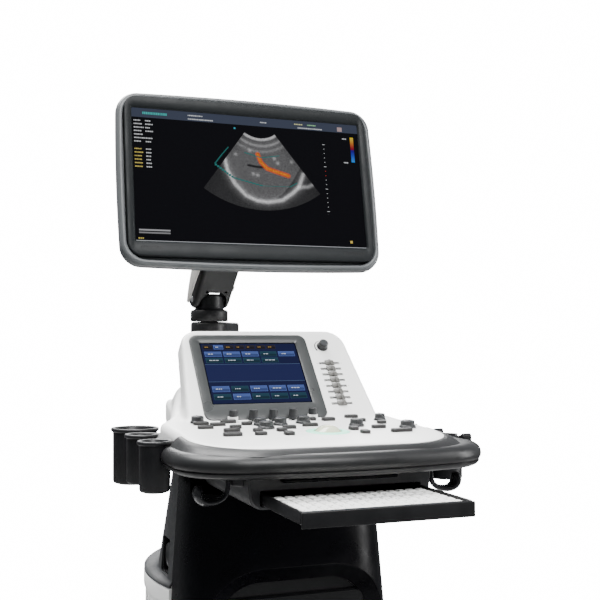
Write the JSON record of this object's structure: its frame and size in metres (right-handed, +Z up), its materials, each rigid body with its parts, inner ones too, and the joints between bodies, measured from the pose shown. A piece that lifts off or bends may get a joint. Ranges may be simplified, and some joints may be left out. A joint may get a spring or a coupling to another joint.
{
  "type": "ultrasound machine",
  "caption": "Cart-mounted ultrasound machine: arm-held monitor, tilted touch panel, control deck, pull-out keyboard and rising console on swivel casters.",
  "frame": {"origin": "centre of the object's box on the floor", "axes": "+Z up, -Y towards the operator, +X to the operator's right"},
  "size_m": [0.58, 0.906, 1.3847],
  "materials": {
    "white_shell": "fine moulded texture, warm white",
    "light_grey": "satin light grey",
    "slate": "fine texture slate grey",
    "rail_grey": "satin soft-touch dark grey",
    "panel_grey": "fine texture dark grey",
    "cover_black": "satin-gloss black",
    "cup_black": "moulded black",
    "knob_grey": "matte blue-grey",
    "key_brown": "soft brown-grey",
    "slider_grey": "matte light grey",
    "keycap_white": "matte white",
    "ball_cream": "polished",
    "touch_glass": "gloss, lit display",
    "display": "semi-gloss, lit display",
    "frame_steel": "powder coat",
    "caster_metal": "satin silver",
    "tyre": "grey-black tread",
    "tube_aluminium": "anodised",
    "cable_black": "matte sheath"
  },
  "bodies": {
    "cart": {"base_chassis": "frame_steel", "base_cover": "white_shell", "front_cover": "cover_black", "side_panel_left": "panel_grey", "side_panel_right": "panel_grey", "side_shell_left": "white_shell", "side_shell_right": "white_shell", "rear_cover": "white_shell", "port_panel": "panel_grey", "lift_tube_outer": "tube_aluminium"},
    "caster_fl": {"caster_fork_fl": "caster_metal"},
    "wheel_fl": {"caster_wheel_fl": "tyre"},
    "caster_fr": {"caster_fork_fr": "caster_metal"},
    "wheel_fr": {"caster_wheel_fr": "tyre"},
    "caster_rl": {"caster_fork_rl": "caster_metal"},
    "wheel_rl": {"caster_wheel_rl": "tyre"},
    "caster_rr": {"caster_fork_rr": "caster_metal"},
    "wheel_rr": {"caster_wheel_rr": "tyre"},
    "console": {"lift_tube_inner": "tube_aluminium", "console_base": "rail_grey", "console_shell": "white_shell", "touch_bezel": "light_grey", "touch_screen": "touch_glass", "keyboard_housing": "panel_grey", "cup_holder_left": "cup_black", "probe_rack_right": "cup_black", "cable_hooks": "cover_black", "arm_tower": "rail_grey"},
    "tray": {"keyboard_tray": "panel_grey"},
    "keys": {"keyboard_keys": "keycap_white"},
    "paddle": {"release_paddle": "panel_grey"},
    "ball": {"trackball": "ball_cream"},
    "gain": {"gain_knob": "knob_grey"},
    "tgc_1": {"tgc_slider_1": "slider_grey"},
    "tgc_2": {"tgc_slider_2": "slider_grey"},
    "tgc_3": {"tgc_slider_3": "slider_grey"},
    "tgc_4": {"tgc_slider_4": "slider_grey"},
    "tgc_5": {"tgc_slider_5": "slider_grey"},
    "tgc_6": {"tgc_slider_6": "slider_grey"},
    "tgc_7": {"tgc_slider_7": "slider_grey"},
    "tgc_8": {"tgc_slider_8": "slider_grey"},
    "encoders": {"menu_encoders": "knob_grey"},
    "deck_keys": {"deck_keys": "key_brown"},
    "knob_1": {"deck_knob_1": "knob_grey"},
    "knob_2": {"deck_knob_2": "knob_grey"},
    "knob_3": {"deck_knob_3": "knob_grey"},
    "knob_4": {"deck_knob_4": "knob_grey"},
    "knob_5": {"deck_knob_5": "knob_grey"},
    "knob_6": {"deck_knob_6": "knob_grey"},
    "knob_7": {"deck_knob_7": "knob_grey"},
    "knob_8": {"deck_knob_8": "knob_grey"},
    "arm_link": {"arm_lower_link": "rail_grey"},
    "elbow": {"arm_elbow": "rail_grey"},
    "lift": {"lift_arm": "rail_grey", "monitor_cable": "cable_black"},
    "head": {"head_block": "rail_grey"},
    "yoke": {"monitor_yoke": "rail_grey"},
    "monitor": {"monitor_rear_shell": "light_grey", "monitor_bezel": "slate", "lcd_panel": "display"}
  },
  "joints": [
    {"name": "console_lift", "type": "slide", "parent": "cart", "child": "console", "axis": [0, 0, 1], "range_m": [0, 0.15]},
    {"name": "tray_slide", "type": "slide", "parent": "console", "child": "tray", "axis": [0, 1, 0], "range_m": [0, 0.15]},
    {"name": "arm_swivel", "type": "hinge", "parent": "console", "child": "arm_link", "pos_m": [0, 0.307, 0.968], "axis": [0, 0, 1], "range_deg": [-45, 45]},
    {"name": "elbow_swivel", "type": "hinge", "parent": "arm_link", "child": "elbow", "pos_m": [-0.047, 0.222, 1], "axis": [0, 0, 1], "range_deg": [-50, 50]},
    {"name": "arm_lift", "type": "hinge", "parent": "elbow", "child": "lift", "pos_m": [-0.047, 0.222, 1.042], "axis": [0.9757, 0.219, 0], "range_deg": [-20, 22]},
    {"name": "head_level", "type": "hinge", "parent": "lift", "child": "head", "pos_m": [-0.025, 0.124, 1.19666], "axis": [0.9757, 0.219, 0], "range_deg": [-22, 20]},
    {"name": "monitor_swivel", "type": "hinge", "parent": "head", "child": "yoke", "pos_m": [-0.025, 0.124, 1.22666], "axis": [0, 0, 1], "range_deg": [-40, 40]},
    {"name": "monitor_tilt", "type": "hinge", "parent": "yoke", "child": "monitor", "pos_m": [-0.025, 0.09086, 1.22917], "axis": [1, 0, 0], "range_deg": [-20, 16]},
    {"name": "paddle_squeeze", "type": "hinge", "parent": "console", "child": "paddle", "pos_m": [-0.005, -0.30375, 0.784], "axis": [1, 0, 0], "range_deg": [-14, 0], "stiffness_Nm_per_rad": 0.5, "springref_deg": 11.46},
    {"name": "keyboard_press", "type": "slide", "parent": "tray", "child": "keys", "axis": [0, 0, -1], "range_m": [0, 0.0012], "stiffness_N_per_m": 3000, "springref_m": -0.001},
    {"name": "encoders_press", "type": "slide", "parent": "console", "child": "encoders", "axis": [0, 0.0541, -0.9985], "range_m": [0, 0.0012], "stiffness_N_per_m": 800, "springref_m": -0.001},
    {"name": "deck_keys_press", "type": "slide", "parent": "console", "child": "deck_keys", "axis": [0, 0.0541, -0.9985], "range_m": [0, 0.0012], "stiffness_N_per_m": 800, "springref_m": -0.001},
    {"name": "gain_turn", "type": "hinge", "parent": "console", "child": "gain", "pos_m": [0.1008, 0.02388, 0.9544], "axis": [0, -0.757, 0.6534], "continuous": true},
    {"name": "trackball_roll", "type": "hinge", "parent": "console", "child": "ball", "pos_m": [0.014, -0.21216, 0.81705], "axis": [1, 0, 0], "continuous": true},
    {"name": "tgc_slide_1", "type": "slide", "parent": "console", "child": "tgc_1", "axis": [1, 0, 0], "range_m": [-0.0155, 0.0155]},
    {"name": "tgc_slide_2", "type": "slide", "parent": "console", "child": "tgc_2", "axis": [1, 0, 0], "range_m": [-0.0155, 0.0155]},
    {"name": "tgc_slide_3", "type": "slide", "parent": "console", "child": "tgc_3", "axis": [1, 0, 0], "range_m": [-0.0155, 0.0155]},
    {"name": "tgc_slide_4", "type": "slide", "parent": "console", "child": "tgc_4", "axis": [1, 0, 0], "range_m": [-0.0155, 0.0155]},
    {"name": "tgc_slide_5", "type": "slide", "parent": "console", "child": "tgc_5", "axis": [1, 0, 0], "range_m": [-0.0155, 0.0155]},
    {"name": "tgc_slide_6", "type": "slide", "parent": "console", "child": "tgc_6", "axis": [1, 0, 0], "range_m": [-0.0155, 0.0155]},
    {"name": "tgc_slide_7", "type": "slide", "parent": "console", "child": "tgc_7", "axis": [1, 0, 0], "range_m": [-0.0155, 0.0155]},
    {"name": "tgc_slide_8", "type": "slide", "parent": "console", "child": "tgc_8", "axis": [1, 0, 0], "range_m": [-0.0155, 0.0155]},
    {"name": "swivel_fl", "type": "hinge", "parent": "cart", "child": "caster_fl", "pos_m": [-0.205, -0.285, 0.14], "axis": [0, 0, 1], "continuous": true},
    {"name": "roll_fl", "type": "hinge", "parent": "caster_fl", "child": "wheel_fl", "pos_m": [-0.205, -0.25, 0.0625], "axis": [1, 0, 0], "continuous": true},
    {"name": "swivel_fr", "type": "hinge", "parent": "cart", "child": "caster_fr", "pos_m": [0.205, -0.285, 0.14], "axis": [0, 0, 1], "continuous": true},
    {"name": "roll_fr", "type": "hinge", "parent": "caster_fr", "child": "wheel_fr", "pos_m": [0.205, -0.25, 0.0625], "axis": [1, 0, 0], "continuous": true},
    {"name": "swivel_rl", "type": "hinge", "parent": "cart", "child": "caster_rl", "pos_m": [-0.205, 0.35, 0.14], "axis": [0, 0, 1], "continuous": true},
    {"name": "roll_rl", "type": "hinge", "parent": "caster_rl", "child": "wheel_rl", "pos_m": [-0.205, 0.385, 0.0625], "axis": [1, 0, 0], "continuous": true},
    {"name": "swivel_rr", "type": "hinge", "parent": "cart", "child": "caster_rr", "pos_m": [0.205, 0.35, 0.14], "axis": [0, 0, 1], "continuous": true},
    {"name": "roll_rr", "type": "hinge", "parent": "caster_rr", "child": "wheel_rr", "pos_m": [0.205, 0.385, 0.0625], "axis": [1, 0, 0], "continuous": true},
    {"name": "knob_turn_1", "type": "hinge", "parent": "console", "child": "knob_1", "pos_m": [-0.152, -0.088, 0.8393], "axis": [0, -0.0541, 0.9985], "continuous": true},
    {"name": "knob_turn_2", "type": "hinge", "parent": "console", "child": "knob_2", "pos_m": [-0.066, -0.164, 0.83518], "axis": [0, -0.0541, 0.9985], "continuous": true},
    {"name": "knob_turn_3", "type": "hinge", "parent": "console", "child": "knob_3", "pos_m": [-0.033, -0.135, 0.83675], "axis": [0, -0.0541, 0.9985], "continuous": true},
    {"name": "knob_turn_4", "type": "hinge", "parent": "console", "child": "knob_4", "pos_m": [0.009, -0.124, 0.83735], "axis": [0, -0.0541, 0.9985], "continuous": true},
    {"name": "knob_turn_5", "type": "hinge", "parent": "console", "child": "knob_5", "pos_m": [0.079, -0.171, 0.8348], "axis": [0, -0.0541, 0.9985], "continuous": true},
    {"name": "knob_turn_6", "type": "hinge", "parent": "console", "child": "knob_6", "pos_m": [0.143, -0.12, 0.83756], "axis": [0, -0.0541, 0.9985], "continuous": true},
    {"name": "knob_turn_7", "type": "hinge", "parent": "console", "child": "knob_7", "pos_m": [0.15, -0.204, 0.83301], "axis": [0, -0.0541, 0.9985], "continuous": true},
    {"name": "knob_turn_8", "type": "hinge", "parent": "console", "child": "knob_8", "pos_m": [-0.064, -0.131, 0.83697], "axis": [0, -0.0541, 0.9985], "continuous": true}
  ],
  "couplings": [
    {"joint": "head_level", "follows": "arm_lift", "ratio": -1}
  ]
}
